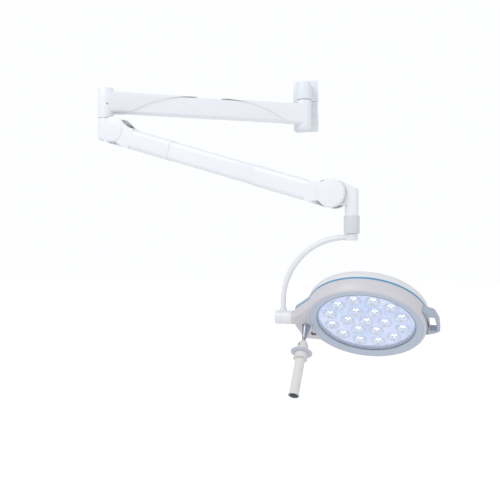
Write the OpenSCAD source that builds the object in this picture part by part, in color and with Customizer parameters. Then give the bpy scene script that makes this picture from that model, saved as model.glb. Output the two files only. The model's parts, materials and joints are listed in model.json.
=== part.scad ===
// Wall-hung dental operating light: bracket, extension arm, balanced spring arm,
// quarter-circle bow, round head with nineteen lenses and a slip-on handle.
// The wall is the plane Y = 0 and the room lies towards -Y. +Z is up.
// The origin is the centre of the wall plate's mounting face.

/* [Rest pose] */
// Angle between the extension arm and the wall, degrees
arm_yaw = 31; // [20:1:60]
// Direction of the spring arm, degrees from +X towards the room
spring_yaw = 8; // [0:1:20]
// Slope of the spring arm below level, degrees
spring_pitch = 17; // [0:1:30]
// Direction of the bow's plane, degrees from +X towards the room
bow_yaw = 6.5; // [0:0.5:15]
// Turn of the head away from facing straight down, degrees
head_tilt = 38.5; // [0:0.5:60]

/* [Wall bracket] */
// Width of the steel plate behind the casting
plate_w = 85; // [80:1:100]
// Height of the steel plate
plate_h = 185; // [170:1:210]
// Thickness of the steel plate
plate_t = 6; // [5:1:8]
// Distance between the mounting holes across the plate
mount_span_x = 60; // [50:1:64]
// Distance between the mounting holes up the plate
mount_span_z = 160; // [150:1:168]
// Radius of each mounting hole
mount_hole_r = 4.5; // [3.5:0.5:5.5]
// Radius of the cable hole through the plate
cable_hole_r = 10; // [8:1:12]
// Wall thickness of the casting's hood
hood_wall = 4; // [3:0.5:5]
// Depth of the hood from the wall
hood_depth = 24; // [22:1:30]
// Height of the seam between casting and lower cover
seam_z = 18; // [10:1:24]
// Wall thickness of the lower cover
cover_wall = 3; // [2:0.5:4]
// Distance from the wall to the first vertical axis
axis_off = 70; // [64:1:90]
// Radius of the bracket's boss
boss_r = 28; // [26:0.5:32]
// Height of the boss
boss_h = 63; // [50:1:70]

/* [Extension arm] */
// Distance between the extension arm's two vertical axes
ext_len = 750; // [600:10:950]
// Radius of the hubs
hub_r = 27.5; // [26:0.5:30]
// Height of the hubs' lower face below the origin
hub_drop = 95; // [90:1:110]
// Height of the wall hub's top above the origin
hub_top = 13.5; // [10:0.5:15]
// Height of the elbow hub's top above the origin
elbow_hub_top = 9; // [6:0.5:12]
// Depth of the end fittings' beam section
fitting_h = 75; // [68:1:80]
// Width of the end fittings' beam section
fitting_w = 52; // [46:1:54]
// Height of the end fittings' top face
fitting_top = -2; // [-4:0.5:0]
// Length of an end fitting along its top edge
fitting_reach = 330; // [250:5:345]
// Length of an end fitting along its bottom edge
fitting_foot = 70; // [60:1:90]
// Metal between beam and fitting at the sides
fitting_skin = 2.8; // [2:0.1:4]
// Wall thickness of the beam
beam_wall = 3; // [2:0.5:4]
// Radius of the shafts
shaft_r = 15; // [13:0.5:16]
// Radius of the cable passage in the shafts
shaft_bore_r = 8; // [6:0.5:9]
// Outer radius of the hub bushes
bush_r = 19; // [18:0.5:20]
// Length of a hub bush
bush_len = 18; // [14:1:20]

/* [Spring arm] */
// Distance between the spring arm's two pins
spring_len = 800; // [700:10:1000]
// Distance from the elbow axis to the rear pin
rear_off = 46; // [44:1:50]
// Height of the rear pin below the origin
rear_pin_drop = 143; // [142:1:150]
// Radius of the round ends
cheek_r = 46; // [44:0.5:46]
// Width of the arm over its covers
arm_w = 76; // [74:1:84]
// Height of the covers above the line between the pins
arm_up = 22; // [20:1:24]
// Depth of the covers below that line
arm_down = 46; // [44:1:46]
// Wall thickness of the covers
arm_skin = 2.5; // [2:0.5:3]
// Where the rear cover meets the middle cover
joint_rear = 224; // [190:1:260]
// Where the middle cover meets the front cover
joint_front = 537; // [480:1:560]
// How much slimmer the middle cover is on every side
middle_inset = 1.5; // [1:0.5:2]
// Radius of the flat caps at the elbow
rear_cap_r = 38; // [34:1:44]
// Radius of the flat caps at the front joint
front_cap_r = 44; // [36:1:45]
// Radius of the pivot pins
pin_r = 9; // [7:0.5:10]
// Height of the pull rod's pivot above the rear pin
pull_lever = 20; // [20:0.5:21]
// Depth of the levelling link's pivots below the pins
level_lever = 26; // [22:1:26]
// Radius of the pins that hold rod and link
lever_pin_r = 4; // [3:0.5:4.5]
// Radius of the spring's coils
coil_r = 10; // [8:0.5:10]
// Radius of the spring's wire
wire_r = 2; // [1.5:0.25:2.5]
// Number of coils in the spring
coils = 14; // [10:1:16]

/* [Front joint] */
// Distance from the front pin to the bow's vertical axis
front_off = 60; // [58:1:64]
// Radius of the knuckle's vertical tube
knuckle_r = 21.5; // [20:0.5:22]
// Radius of the grey sleeve
sleeve_r = 24.75; // [24:0.25:26]
// Depth of the sleeve's top below the front pin
sleeve_top = 71; // [68:1:76]
// Length of the sleeve
sleeve_len = 55; // [48:1:60]
// Radius of the bow's spigot
spigot_r = 12; // [10:0.5:12.5]
// Radius of the cylinder that carries the bow
collar_r = 19; // [17:0.5:21]
// Height of the cylinder that carries the bow
collar_h = 21; // [20:0.5:26]

/* [Bow] */
// Radius of the bow's quarter circle
bow_r = 205; // [190:5:240]
// Distance from the bow's vertical axis to its straight leg
bow_reach = 222; // [222:1:260]
// Radius of the bow's tube
bow_tube_r = 9; // [8:0.5:10]
// Wall thickness of the bow's tube
bow_wall = 2; // [1.5:0.5:3]
// Height from the bow's top line down to the tilt axis
bow_drop = 255; // [250:5:300]
// Radius of the joint eye
eye_r = 22.5; // [21:0.5:24]
// Radius of the tilt axle
axle_r = 8; // [7:0.5:9]

/* [Head] */
// Distance from the bow's vertical axis to the head's centre
head_off = 46; // [40:1:50]
// Radius of the head's front rim
rim_r = 182.5; // [175:0.5:184]
// Radius of the casing's side
casing_r = 188; // [185:0.5:190]
// Radius of the glass
window_r = 153; // [145:0.5:156]
// Distance from the tilt axis to the front rim
front_z = 23; // [22:0.5:26]
// Distance from the tilt axis to the casing's back edge
back_z = 18; // [16:0.5:20]
// Wall thickness of the casing and the rear shell
casing_wall = 3; // [2.5:0.5:4]
// Height of the rear shell's dome
dome_h = 50; // [45:1:58]
// Height of the blue trim ring
trim_h = 5.5; // [3:0.5:8]
// Thickness of the glass
glass_t = 4; // [3:0.5:5]
// Radius of each lens
lens_r = 22; // [18:0.5:23]
// Radius of the inner ring of lenses
ring_1_r = 57; // [54:1:60]
// Radius of the outer ring of lenses
ring_2_r = 114; // [110:1:118]
// How far the side grip stands out past the casing
grip_out = 34; // [30:1:40]
// Thickness of the side grip's bar
grip_bar = 10; // [8:1:12]

/* [Handle] */
// Distance from the head's centre to the handle's axis
handle_x = 190; // [188:1:200]
// Place of the handle along the ear
handle_y = 10; // [0:1:14]
// Length of the metal cone
cone_len = 50; // [40:1:60]
// Radius of the handle's dome
dome_r = 18.5; // [16:0.5:20]
// Radius of the guard disc
guard_r = 34.5; // [31:0.5:38]
// Radius of the collar below the guard disc
lip_r = 22; // [20:0.5:24]
// Radius of the grip
grip_r = 15.2; // [13:0.2:17]
// Length of the grip below the collar
grip_len = 125; // [100:1:150]
// Travel of the release button
button_travel = 1.5; // [1:0.5:2]

/* [Hidden] */
$fn = 64;
run_gap = 0.05;   // radial clearance of a running fit
fit_gap = 0.2;    // clearance between parts that are fixed together
air = 0.5;        // clearance between parts that pass each other
past = 1;         // how far a cutter runs past a face
skin_r = 12;      // corner radius of the end fittings' section

elbow_x = -ext_len * cos(arm_yaw);
elbow_y = -axis_off - ext_len * sin(arm_yaw);
front_pin_x = rear_off + spring_len * cos(spring_pitch);
front_pin_z = -rear_pin_drop - spring_len * sin(spring_pitch);

hood_w = plate_w + 2 * (fit_gap + hood_wall + 1);
hood_top = plate_h / 2 + fit_gap + hood_wall + 1;
boss_z = hub_top + 2.5;                 // underside of the boss
washer_t = boss_z - hub_top - 0.3;
ring_t = 3;
ring_r = shaft_r + 6;                   // retaining rings on the shafts
pocket_r = ring_r + 1;
cap_t = 12;                             // domed cap under the wall hub
cap_round = 9;
cap_floor = 4;
ring_z = cap_t - hub_drop + ring_t;     // underside of the wall shaft's ring
beam_w = fitting_w - 2 * (fitting_skin + fit_gap);
beam_top = fitting_top - 3.3 - fit_gap;
beam_bottom = fitting_top - fitting_h + 1.3 + fit_gap;
beam_start = 40;                        // from each vertical axis to the beam's end
sweep_r = (pow(fitting_reach - fitting_foot, 2) + pow(fitting_h, 2)) / (2 * fitting_h);

shaft_foot = 15;                        // how far the elbow shaft runs below the rear pin
tongue_t = 28;                          // thickness of the knuckles' tongues
tongue_r = 30;
eye_t = 5.6;                            // thickness of the rod's and link's eyes
lever_eye_r = 9;
eye_y = tongue_t / 2 + 1;               // inner face of those eyes
cheek_in = hub_r + 1.8;                 // inner face of the cheeks
yoke_out = arm_w / 2 - arm_skin - 0.3;  // outer face of the yokes
arm_mid = (arm_up - arm_down) / 2;
arm_h = arm_up + arm_down;
yoke_len = 110;
tube_start = 90;
tube_w = 2 * yoke_out - 14;
tube_h = arm_h - 2 * arm_skin - 7;
tube_wall = 2.5;
tube_round = 8;                         // corner radius of the arm's tube
yoke_round = 15;
cover_round = 18;                       // corner radius of the covers' section
slot_len = 55;                          // open slot between the cheeks
blend_x = 76;                           // where the round end runs into the top edge
blend_r = (pow(blend_x, 2) + pow(arm_up, 2) - pow(cheek_r, 2)) / (2 * (cheek_r - arm_up));

pull_x = -pull_lever * sin(spring_pitch);   // pull rod's pivot in the arm's frame
pull_z = pull_lever * cos(spring_pitch);
level_x = level_lever * sin(spring_pitch);  // levelling link's pivot in the arm's frame
level_z = -level_lever * cos(spring_pitch);
rod_slope = 7;
rod_y = -12.5;
rod_r = 4;
seat_x = 150;
seat_t = 5;
nut_x = 300;

sleeve_low = sleeve_top + sleeve_len;
collar_top = sleeve_low + 0.5;
bow_line = collar_top + collar_h / 2;   // depth of the bow's top line below the front pin
tilt_drop = bow_line + bow_drop;
spigot_bush_r = spigot_r + 3;

neck_x = -casing_r - 47.5;              // outer end of the casing's neck
barrel_x = neck_x - 0.5;                // the bow's eye starts here
eye_x = -bow_reach - head_off;          // the bow's straight leg, from the head's centre
axle_bush_r = axle_r + 3;
seat_z = front_z - 7;                   // front face of the glass
tray_z = 9;
board_z = 11;
shell_z = back_z + trim_h + 2 * fit_gap;     // open edge of the rear shell
screw_seat = 22;                        // floor of the screws' recesses in the rear shell
stem_z = -front_z + 3;                  // face of the ear that carries the handle
neck_len = 8;
dome_z = stem_z - cone_len - neck_len - 4;
dome_len = 41;
guard_z = dome_z - dome_len;
lip_len = 23;
sleeve_z = guard_z - lip_len - 3;
button_turn = 22;
button_drop = 20;                       // from the dome's top down to the button
key_x = -176;
key_y = 60;
key_l = 16;
key_w = 11;
key_gap = 0.6;
key_pin_r = 1.2;
key_pin_z = stem_z + 1.5;
stem_r = 6;                             // neck between the cone and the dome
cone_r = 13.3;
collar_out = 19.5;                      // white collar around the cone's foot
collar_rise = 5;

// ---- frames ----
module at_wall_hub() translate([0, -axis_off, 0]) rotate([0, 0, 180 + arm_yaw]) children();
module at_elbow_hub() at_wall_hub() translate([ext_len, 0, 0]) rotate([0, 0, 180]) children();
module at_elbow() translate([elbow_x, elbow_y, 0]) rotate([0, 0, -spring_yaw]) children();
module at_rear_pin() at_elbow() translate([rear_off, 0, -rear_pin_drop]) children();
module at_arm() at_rear_pin() rotate([0, spring_pitch, 0]) children();
module at_front_pin() at_elbow() translate([front_pin_x, 0, front_pin_z]) children();
module at_bow() at_front_pin() translate([front_off, 0, 0])
    rotate([0, 0, spring_yaw - bow_yaw]) children();
module at_tilt() at_bow() translate([head_off, 0, -tilt_drop]) children();
module at_head() at_tilt() rotate([-head_tilt, 0, 0]) children();
module at_handle() at_head() translate([-handle_x, handle_y, 0]) children();

// ---- shared shapes ----
// Rounded rectangle, centred, with true arcs.
module round_rect(w, h, r) {
    square([w - 2 * r, h], center = true);
    square([w, h - 2 * r], center = true);
    for (x = [-1, 1], y = [-1, 1])
        translate([x * (w / 2 - r), y * (h / 2 - r)]) circle(r);
}

// Points of an outline whose corners are rounded; each corner is [x, y, radius].
function unit(v) = v / norm(v);
function corner_arc(a, b, c, steps) =
    let (u = unit([a[0] - b[0], a[1] - b[1]]), w = unit([c[0] - b[0], c[1] - b[1]]),
        half = acos(u * w) / 2, reach = b[2] / tan(half),
        mid = [b[0], b[1]] + unit(u + w) * b[2] / sin(half),
        from = [b[0], b[1]] + u * reach - mid, to = [b[0], b[1]] + w * reach - mid,
        start = atan2(from[1], from[0]), turn = atan2(to[1], to[0]) - start,
        sweep = turn > 180 ? turn - 360 : turn < -180 ? turn + 360 : turn)
    [for (i = [0:steps]) mid + b[2] * [cos(start + sweep * i / steps), sin(start + sweep * i / steps)]];
function rounded(corners, steps = 6) = [for (i = [0:len(corners) - 1])
    each corner_arc(corners[(i + len(corners) - 1) % len(corners)], corners[i],
        corners[(i + 1) % len(corners)], steps)];

module tube(r_out, r_in, h) difference() {
    cylinder(r = r_out, h = h);
    translate([0, 0, -past]) cylinder(r = r_in, h = h + 2 * past);
}

// Cylinder along Y, centred on the middle plane unless moved.
module across(r, len, y = 0) translate([0, y, 0]) rotate([90, 0, 0])
    cylinder(r = r, h = len, center = true);

// Plate in the XZ plane between two Y values.
module side_plate(y0, y1) translate([0, y1, 0]) rotate([90, 0, 0])
    linear_extrude(y1 - y0) children();

module both_sides() {
    children();
    mirror([0, 1, 0]) children();
}

// Section along +X: its 2D shape has X across and Y up.
module along(x0, x1) translate([x0, 0, 0]) rotate([90, 0, 90]) linear_extrude(x1 - x0) children();

// ---- wall bracket ----
module wall_plate() color("silver") difference() {
    translate([-plate_w / 2, -plate_t, -plate_h / 2]) cube([plate_w, plate_t, plate_h]);
    for (x = [-1, 1], z = [-1, 1])
        translate([x * mount_span_x / 2, 0, z * mount_span_z / 2])
            across(mount_hole_r, 4 * plate_t);
    screw_places() across(3, 4 * plate_t);
    translate([0, 0, boss_z + boss_h / 2]) across(cable_hole_r, 4 * plate_t);
}

module screw_places() for (x = [-1, 1], z = [5, -40]) translate([x * 26, 0, z]) children();

module bracket_casting() color("white") difference() {
    union() {
        translate([-hood_w / 2, -hood_depth, seam_z])
            cube([hood_w, hood_depth, hood_top - seam_z]);
        translate([-36, -plate_t - 8, -52]) cube([72, 8 - fit_gap, 52 + seam_z + past]);
        translate([0, -axis_off, boss_z]) cylinder(r = boss_r, h = boss_h);
        translate([-22, -axis_off, boss_z]) cube([44, axis_off - hood_depth + past, boss_h]);
    }
    translate([-plate_w / 2 - fit_gap, -plate_t - fit_gap, seam_z - past])
        cube([plate_w + 2 * fit_gap, plate_t + fit_gap + past, hood_top - hood_wall - 1 - seam_z + past]);
    difference() {
        translate([-hood_w / 2 + hood_wall, -hood_depth + hood_wall, seam_z + 8])
            cube([hood_w - 2 * hood_wall, hood_depth, hood_top - hood_wall - seam_z - 8]);
        translate([-plate_w, -plate_t - fit_gap, 0]) cube([2 * plate_w, plate_t + 2, plate_h]);
    }
    screw_places() across(3.3, 60);
    translate([0, -axis_off, boss_z - past]) cylinder(r = shaft_r, h = boss_h - 6 + past);
    translate([0, -axis_off / 2, boss_z + boss_h / 2]) across(shaft_bore_r, axis_off);
}

module lower_cover() color("white") difference() {
    lower_cover_form(hood_w - 2, hood_depth - 1, seam_z - 0.5, 9);
    translate([0, past, -past]) lower_cover_form(hood_w - 2 - 2 * cover_wall,
        hood_depth - 1 - cover_wall + past, seam_z + 2 * past, 7, cover_wall);
}

// Box with two rounded lower corners, from the wall out to a depth.
module lower_cover_form(w, depth, top, r, up = 0) side_plate(-depth, 0) {
    low = -plate_h / 2 - 5 + up;
    translate([-w / 2, low + r]) square([w, top - low - r]);
    translate([-w / 2 + r, low]) square([w - 2 * r, r + past]);
    for (x = [-1, 1]) translate([x * (w / 2 - r), low + r]) circle(r);
}

module bracket_screws() color("dimgray") screw_places() {
    across(3, plate_t + 8, -(plate_t + 8) / 2);
    difference() {
        across(5, 5, -plate_t - 8 - 2.5);
        rotate([90, 0, 0]) translate([0, 0, plate_t + 10]) cylinder(r = 2.6, h = 5, $fn = 6);
    }
}

module wall_shaft() color("lightgray") translate([0, -axis_off, 0]) difference() {
    translate([0, 0, ring_z]) cylinder(r = shaft_r, h = boss_z + boss_h - 6 - ring_z);
    translate([0, 0, ring_z - past]) cylinder(r = shaft_bore_r, h = boss_z + boss_h - 16 - ring_z);
    translate([0, axis_off / 2, boss_z + boss_h / 2]) across(shaft_bore_r - 0.5, axis_off);
}

module wall_thrust_washer() color("dimgray") translate([0, -axis_off, boss_z - washer_t])
    tube(hub_r - 2.5, shaft_r + fit_gap, washer_t);

module wall_retaining_ring() color("gray") translate([0, -axis_off, ring_z])
    tube(ring_r, shaft_r, ring_t);

// ---- extension arm ----
// One end fitting: hub on the Z axis, beam socket towards +X.
module hub_fitting(top, low) difference() {
    union() {
        translate([0, 0, low]) cylinder(r = hub_r, h = top - low);
        intersection() {
            along(0, fitting_reach) translate([0, fitting_top - fitting_h / 2])
                round_rect(fitting_w, fitting_h, skin_r);
            side_plate(-fitting_w, fitting_w) difference() {
                translate([0, fitting_top - fitting_h]) square([fitting_reach, fitting_h]);
                translate([fitting_reach, fitting_top - sweep_r]) circle(sweep_r, $fn = 180);
            }
        }
    }
    along(beam_start, ext_len - beam_start) translate([0, (beam_top + beam_bottom) / 2])
        round_rect(beam_w + 2 * fit_gap, beam_top - beam_bottom + 2 * fit_gap, skin_r - 2);
    translate([0, 0, low - past]) cylinder(r = bush_r, h = top - low + 2 * past);
    translate([0, -hub_r / 2, -hub_drop / 2]) across(4, hub_r);
}

module wall_hub_fitting() color("white") at_wall_hub() difference() {
    hub_fitting(hub_top, -hub_drop + cap_t);
    translate([0, 0, -hub_drop + cap_t - past]) cylinder(r = pocket_r, h = 2 * ring_t + past + air);
}

module elbow_hub_fitting() color("white") at_elbow_hub() difference() {
    hub_fitting(elbow_hub_top, -hub_drop);
    translate([0, 0, elbow_hub_top - 14]) cylinder(r = pocket_r, h = 14 + past);
}

module extension_beam() color("white") at_wall_hub() difference() {
    beam_form(0);
    beam_form(beam_wall);
}

module beam_form(inset) along(beam_start + air - (inset > 0 ? past : 0),
        ext_len - beam_start - air + (inset > 0 ? past : 0))
    translate([0, (beam_top + beam_bottom) / 2])
        round_rect(beam_w - 2 * inset, beam_top - beam_bottom - 2 * inset, skin_r - 2 - inset);

module hub_bushes() color("dimgray") at_wall_hub() {
    for (z = [hub_top - bush_len, ring_z + ring_t + air]) translate([0, 0, z])
        tube(bush_r, shaft_r + run_gap, bush_len);
    for (z = [elbow_hub_top - 14 - bush_len, -hub_drop + air]) translate([ext_len, 0, z])
        tube(bush_r, shaft_r + run_gap, bush_len);
}

module elbow_top_cap() color("white") at_elbow_hub() translate([0, 0, elbow_hub_top - 5]) {
    cylinder(r = pocket_r - 0.1, h = 5);
}

module wall_hub_bottom_cap() color("white") at_wall_hub() translate([0, 0, -hub_drop])
    rotate_extrude() difference() {
        intersection() {
            union() {
                square([hub_r - cap_round, cap_t]);
                translate([0, cap_round]) square([hub_r, cap_t]);
                translate([hub_r - cap_round, cap_round]) circle(cap_round);
            }
            square([hub_r, cap_t - fit_gap]);
        }
        translate([-past, cap_floor]) square([pocket_r + past, cap_t]);
    }

module hub_brake_screws() color("dimgray") at_wall_hub() translate([0, 0, -hub_drop / 2]) {
    brake_screw(-1);
    translate([ext_len, 0, 0]) brake_screw(1);
}

module brake_screw(side) difference() {
    across(3.95, hub_r - shaft_r - 1.3, side * (hub_r + shaft_r + 0.3) / 2);
    translate([0, side * hub_r, 0]) across(2, 8);
}

// ---- elbow knuckle ----
module elbow_knuckle() color("white") at_elbow() difference() {
    union() {
        translate([0, 0, -rear_pin_drop - 29.5]) rotate_extrude() difference() {
            union() {
                square([hub_r - 10, rear_pin_drop + 29.5 - hub_drop - 1.5]);
                translate([0, 10]) square([hub_r, rear_pin_drop + 19.5 - hub_drop - 1.5]);
                translate([hub_r - 10, 10]) circle(10);
            }
            translate([-hub_r, -past]) square([hub_r, hub_drop]);
        }
        translate([rear_off, 0, -rear_pin_drop]) {
            across(tongue_r, tongue_t);
            translate([-rear_off, -tongue_t / 2, -tongue_r + 2])
                cube([rear_off, tongue_t, 2 * tongue_r - 6]);
            lever_pin(pull_lever, -1);
            lever_pin(-level_lever, 1);
        }
    }
    translate([rear_off, 0, -rear_pin_drop]) across(pin_r + run_gap, 2 * tongue_t);
    translate([0, 0, -rear_pin_drop - shaft_foot]) cylinder(r = shaft_r, h = rear_pin_drop);
    translate([0, 0, -rear_pin_drop - shaft_foot - 7]) cylinder(r = shaft_bore_r, h = rear_pin_drop);
}

module lever_pin(z, side) translate([0, 0, z])
    across(lever_pin_r, eye_t + 3, side * (tongue_t / 2 + eye_t / 2 + 1));

module elbow_shaft() color("lightgray") at_elbow() translate([0, 0, -rear_pin_drop - shaft_foot])
    tube(shaft_r, shaft_bore_r, rear_pin_drop + shaft_foot + elbow_hub_top - 6);

module elbow_thrust_washer() color("dimgray") at_elbow() translate([0, 0, -hub_drop - 1.5])
    tube(hub_r - 1, shaft_r + fit_gap, 1.2);

module elbow_retaining_ring() color("gray") at_elbow()
    translate([0, 0, elbow_hub_top - 14 + air]) tube(ring_r, shaft_r, ring_t);

// ---- spring arm ----
// Side view of a round end that runs into the arm's top edge.
module end_side(r, up, down, len) {
    circle(r);
    difference() {
        polygon([[0, 0], [cheek_r * 0.57, cheek_r * 0.82 - (cheek_r - r)], [blend_x, up],
            [len, up], [len, -down], [0, -down]]);
        translate([blend_x, arm_up + blend_r]) circle(blend_r + cheek_r - r, $fn = 120);
    }
}

// Hollow cover around one round end, closed over its length.
module end_cover(len) difference() {
    intersection() {
        side_plate(-arm_w / 2, arm_w / 2) end_side(cheek_r, arm_up, arm_down, len);
        union() {
            along(-cheek_r, blend_x) square([arm_w, 2 * cheek_r], center = true);
            along(blend_x - past, len) translate([0, arm_mid]) round_rect(arm_w, arm_h, cover_round);
        }
    }
    intersection() {
        side_plate(-arm_w / 2 + arm_skin, arm_w / 2 - arm_skin)
            end_side(cheek_r - arm_skin, arm_up - arm_skin, arm_down - arm_skin, len + past);
        union() {
            along(-cheek_r, blend_x - 4) square([arm_w, 2 * cheek_r], center = true);
            along(blend_x - 4 - past, len + past) translate([0, arm_mid])
                round_rect(arm_w - 2 * arm_skin, arm_h - 2 * arm_skin, cover_round - arm_skin);
        }
    }
    translate([-2 * cheek_r, -cheek_in, arm_mid]) cube([2 * cheek_r + slot_len, 2 * cheek_in, 2 * cheek_r]);
    translate([-2 * cheek_r, -cheek_in, -2 * cheek_r]) cube([2 * cheek_r + 8, 2 * cheek_in, 4 * cheek_r]);
    across(pin_r + 1, 2 * arm_w);
}

module rear_cover() color("white") at_arm() end_cover(joint_rear);

module front_cover() color("white") at_arm() translate([spring_len, 0, 0]) mirror([1, 0, 0])
    end_cover(spring_len - joint_front);

module middle_cover() color("white") at_arm() difference() {
    along(joint_rear + fit_gap, joint_front - fit_gap) translate([0, arm_mid])
        round_rect(arm_w - 2 * middle_inset, arm_h - 2 * middle_inset, cover_round - middle_inset);
    along(joint_rear - past, joint_front + past) translate([0, arm_mid])
        round_rect(arm_w - 2 * middle_inset - 2 * arm_skin, arm_h - 2 * middle_inset - 2 * arm_skin,
            cover_round - middle_inset - arm_skin);
}

module side_caps() color("white") at_arm() {
    side_cap(rear_cap_r);
    translate([spring_len, 0, 0]) side_cap(front_cap_r);
}

module side_cap(r) both_sides() translate([0, arm_w / 2, 0]) rotate([-90, 0, 0]) {
    cylinder(r = r, h = 1.5);
    cylinder(r = r - 1.5, h = 2.5);
}

// Cheeks around a pin, joined by a box that holds the arm's tube.
module yoke() difference() {
    union() {
        both_sides() side_plate(cheek_in, yoke_out) {
            circle(36);
            translate([0, arm_mid - 27]) square([slot_len + 12, 54]);
        }
        along(slot_len + 10, yoke_len) translate([0, arm_mid])
            round_rect(2 * yoke_out, arm_h - 2 * arm_skin - 1, yoke_round);
    }
    along(slot_len, yoke_len + past) translate([0, arm_mid])
        round_rect(tube_w + 2 * fit_gap, tube_h + 2 * fit_gap, tube_round + fit_gap);
    across(pin_r, 2 * arm_w);
}

module rear_yoke() color("silver") at_arm() yoke();

module front_yoke() color("silver") at_arm() translate([spring_len, 0, 0]) mirror([1, 0, 0]) yoke();

module arm_tube() color("silver") at_arm() difference() {
    along(tube_start, spring_len - tube_start) translate([0, arm_mid])
        round_rect(tube_w, tube_h, tube_round);
    along(tube_start - past, spring_len - tube_start + past) translate([0, arm_mid])
        round_rect(tube_w - 2 * tube_wall, tube_h - 2 * tube_wall, tube_round - tube_wall);
}

module pivot_pin() difference() {
    across(pin_r, arm_w - 1);
    both_sides() translate([0, arm_w / 2, 0]) across(3, 12);
}

module rear_pin() color("lightgray") at_arm() pivot_pin();

module front_pin() color("lightgray") at_arm() translate([spring_len, 0, 0]) pivot_pin();

// Frame of the pull rod: its eye at the origin, the rod along +X.
module at_rod() at_arm() translate([pull_x, 0, pull_z]) rotate([0, rod_slope, 0]) children();

module pull_rod() color("lightgray") at_rod() {
    difference() {
        union() {
            across(lever_eye_r, eye_t, -eye_y - eye_t / 2);
            translate([0, -eye_y - eye_t, -rod_r]) cube([56, eye_t, 2 * rod_r]);
            translate([44, -eye_y - eye_t, -rod_r]) cube([12, eye_t + 6, 2 * rod_r]);
        }
        across(lever_pin_r + run_gap, 2 * eye_t, -eye_y - eye_t / 2);
    }
    along(54, nut_x + 14) translate([rod_y, 0]) circle(rod_r);
}

module spring_nut() color("gray") at_rod() {
    along(nut_x, nut_x + 3) translate([rod_y, 0]) difference() {
        circle(coil_r + wire_r);
        circle(rod_r);
    }
    along(nut_x + 3, nut_x + 10) translate([rod_y, 0]) difference() {
        circle(7.5, $fn = 6);
        circle(rod_r);
    }
}

// Compression spring between seat and nut, a helix about the rod.
module balance_spring() color("dimgray") at_rod() {
    start = seat_x + seat_t + 16;
    length = nut_x - wire_r - 1 - start;
    turn_steps = 16;
    sides = 6;
    last = coils * turn_steps;
    points = [for (i = [0:last], j = [0:sides - 1])
        let (a = 360 * i / turn_steps, b = 360 * j / sides, r = coil_r + wire_r * cos(b))
        [start + length * i / last + wire_r * sin(b), rod_y + r * cos(a), r * sin(a)]];
    faces = [for (i = [0:last - 1], j = [0:sides - 1])
        let (k = (j + 1) % sides)
        [i * sides + j, i * sides + k, (i + 1) * sides + k, (i + 1) * sides + j]];
    polyhedron(points, concat(faces, [[for (j = [sides - 1:-1:0]) j]],
        [[for (j = [0:sides - 1]) last * sides + j]]));
}

module spring_seat() color("gray") at_arm() difference() {
    along(seat_x, seat_x + seat_t) translate([0, arm_mid])
        round_rect(tube_w - 2 * tube_wall - 2 * fit_gap, tube_h - 2 * tube_wall - 2 * fit_gap,
            tube_round - tube_wall);
    along(seat_x - past, seat_x + seat_t + past) {
        translate([rod_y, -1]) square([2 * rod_r + 2, 24], center = true);
        translate([eye_y - 1, level_z - 8]) square([eye_t + 2, 30]);
    }
}

module levelling_link() color("silver") at_arm() translate([level_x, 0, level_z]) difference() {
    union() {
        for (x = [0, spring_len]) translate([x, 0, 0]) across(lever_eye_r, eye_t, eye_y + eye_t / 2);
        translate([0, eye_y, -6]) cube([spring_len, eye_t, 12]);
    }
    across(lever_pin_r + run_gap, 2 * eye_t, eye_y + eye_t / 2);
    translate([spring_len, 0, 0]) across(lever_pin_r + air, 2 * eye_t, eye_y + eye_t / 2);
}

// ---- front joint ----
module front_knuckle() color("white") at_front_pin() difference() {
    union() {
        across(tongue_r, tongue_t);
        side_plate(-tongue_t / 2, tongue_t / 2) polygon([[0, tongue_r], [20, 38], [39, 34],
            [front_off, 24], [front_off, -40], [24, -37], [0, -tongue_r]]);
        intersection() {
            side_plate(-knuckle_r, knuckle_r) polygon([[16, 37], [22, 38], [39, 34],
                [front_off + knuckle_r, 12], [front_off + knuckle_r, -40], [24, -37], [16, -33]]);
            union() {
                translate([0, -knuckle_r, -60]) cube([front_off, 2 * knuckle_r, 120]);
                translate([front_off, 0, -60]) cylinder(r = knuckle_r, h = 120);
            }
        }
        translate([front_off, 0, -sleeve_top]) cylinder(r = knuckle_r, h = sleeve_top - 20);
        translate([front_off, 0, -sleeve_low]) cylinder(r = sleeve_r - 4, h = sleeve_len + past);
        lever_pin(-level_lever, 1);
    }
    across(pin_r + run_gap, 4 * tongue_t);
    translate([front_off, 0, -sleeve_low - past])
        cylinder(r = spigot_bush_r, h = sleeve_low - 14 + past);
}

module front_sleeve() color("lightgray") at_front_pin() translate([front_off, 0, -sleeve_low])
    tube(sleeve_r, sleeve_r - 4 + fit_gap / 2, sleeve_len - 0.3);

module spigot_bushes() color("dimgray") at_front_pin()
    for (z = [-sleeve_low, -40]) translate([front_off, 0, z])
        tube(spigot_bush_r, spigot_r + run_gap, 20);

// ---- bow ----
module bow_spigot() color("white") at_bow() difference() {
    union() {
        translate([0, 0, -collar_top - collar_h]) rotate_extrude() difference() {
            union() {
                square([collar_r, collar_h - 2]);
                square([collar_r - 2, collar_h]);
                translate([collar_r - 2, collar_h - 2]) circle(2);
            }
            translate([-2 * collar_r, -past]) square([2 * collar_r, 2 * collar_h]);
        }
        translate([0, 0, -collar_top - past]) cylinder(r = spigot_r, h = collar_top - 16 + past);
    }
    translate([0, 0, -bow_line]) cylinder(r = 5, h = bow_line);
    translate([-collar_r / 2, 0, -bow_line]) rotate([0, 90, 0])
        cylinder(r = bow_tube_r, h = collar_r + 2, center = true);
}

module spigot_ring() color("gray") at_bow() translate([0, 0, -19.5])
    tube(spigot_bush_r - 0.4, spigot_r, 3);

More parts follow.
